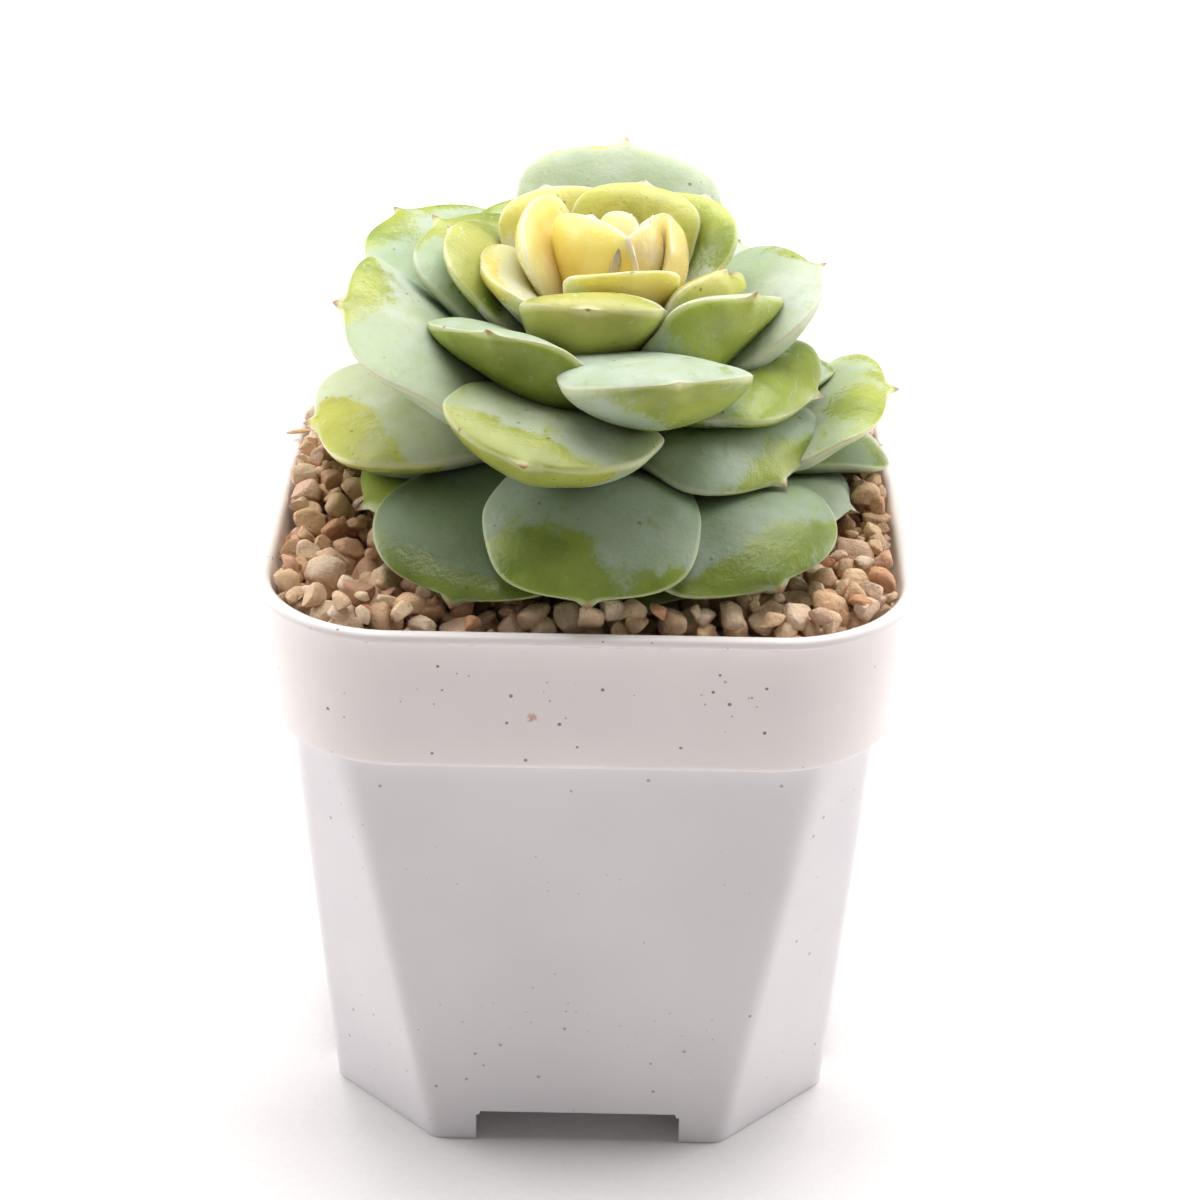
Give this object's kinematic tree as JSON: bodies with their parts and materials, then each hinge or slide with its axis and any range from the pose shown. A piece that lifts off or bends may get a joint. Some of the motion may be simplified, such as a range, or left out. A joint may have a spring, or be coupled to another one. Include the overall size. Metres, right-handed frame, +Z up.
{
  "type": "potted succulent",
  "caption": "Rosette succulent with thick pointed bloom-covered leaves, planted in a square white plastic nursery pot with a collar rim and a dressing of clay grains.",
  "frame": {"origin": "on the floor at the middle of the pot's foot", "axes": "+Z up along the pot, -Y towards the front face of the pot, +X to the right of someone who faces the front"},
  "size_m": [0.07, 0.07, 0.1021],
  "materials": {
    "pot_plastic": "white moulded plastic, slightly translucent, satin",
    "soil": "dark crumbly potting mix",
    "clay_grains": "tan fired-clay grains, matt",
    "stem": "pale green, matt",
    "leaf_heart": "thin bloom over pale yellow translucent flesh",
    "leaf_inner": "yellow-green, partly glossy where the bloom is rubbed off",
    "leaf_outer": "pale blue-green powdery bloom with rubbed green patches",
    "leaf_lower": "dull grey-green bloom, darker in the shade"
  },
  "bodies": {
    "root": {"pot": "pot_plastic", "potting_soil": "soil", "gravel_top_dressing": "clay_grains", "stem": "stem", "leaf_01": "leaf_heart", "leaf_02": "leaf_heart", "leaf_03": "leaf_heart", "leaf_04": "leaf_inner", "leaf_05": "leaf_heart", "leaf_06": "leaf_inner", "leaf_07": "leaf_inner", "leaf_08": "leaf_inner", "leaf_09": "leaf_inner", "leaf_10": "leaf_inner", "leaf_11": "leaf_inner", "leaf_12": "leaf_inner", "leaf_13": "leaf_inner", "leaf_14": "leaf_outer", "leaf_15": "leaf_outer", "leaf_16": "leaf_outer", "leaf_17": "leaf_outer", "leaf_18": "leaf_outer", "leaf_19": "leaf_outer", "leaf_20": "leaf_outer", "leaf_21": "leaf_outer", "leaf_22": "leaf_outer", "leaf_23": "leaf_outer", "leaf_24": "leaf_outer", "leaf_25": "leaf_outer", "leaf_26": "leaf_outer", "leaf_27": "leaf_outer", "leaf_28": "leaf_outer", "leaf_29": "leaf_outer", "leaf_30": "leaf_outer", "leaf_31": "leaf_outer", "leaf_32": "leaf_lower", "leaf_33": "leaf_lower", "leaf_34": "leaf_lower", "leaf_35": "leaf_lower", "leaf_36": "leaf_lower", "leaf_37": "leaf_lower", "leaf_38": "leaf_lower", "leaf_39": "leaf_lower", "leaf_40": "leaf_lower", "leaf_41": "leaf_lower", "leaf_42": "leaf_lower", "leaf_43": "leaf_lower", "leaf_44": "leaf_lower"}
  },
  "joints": []
}
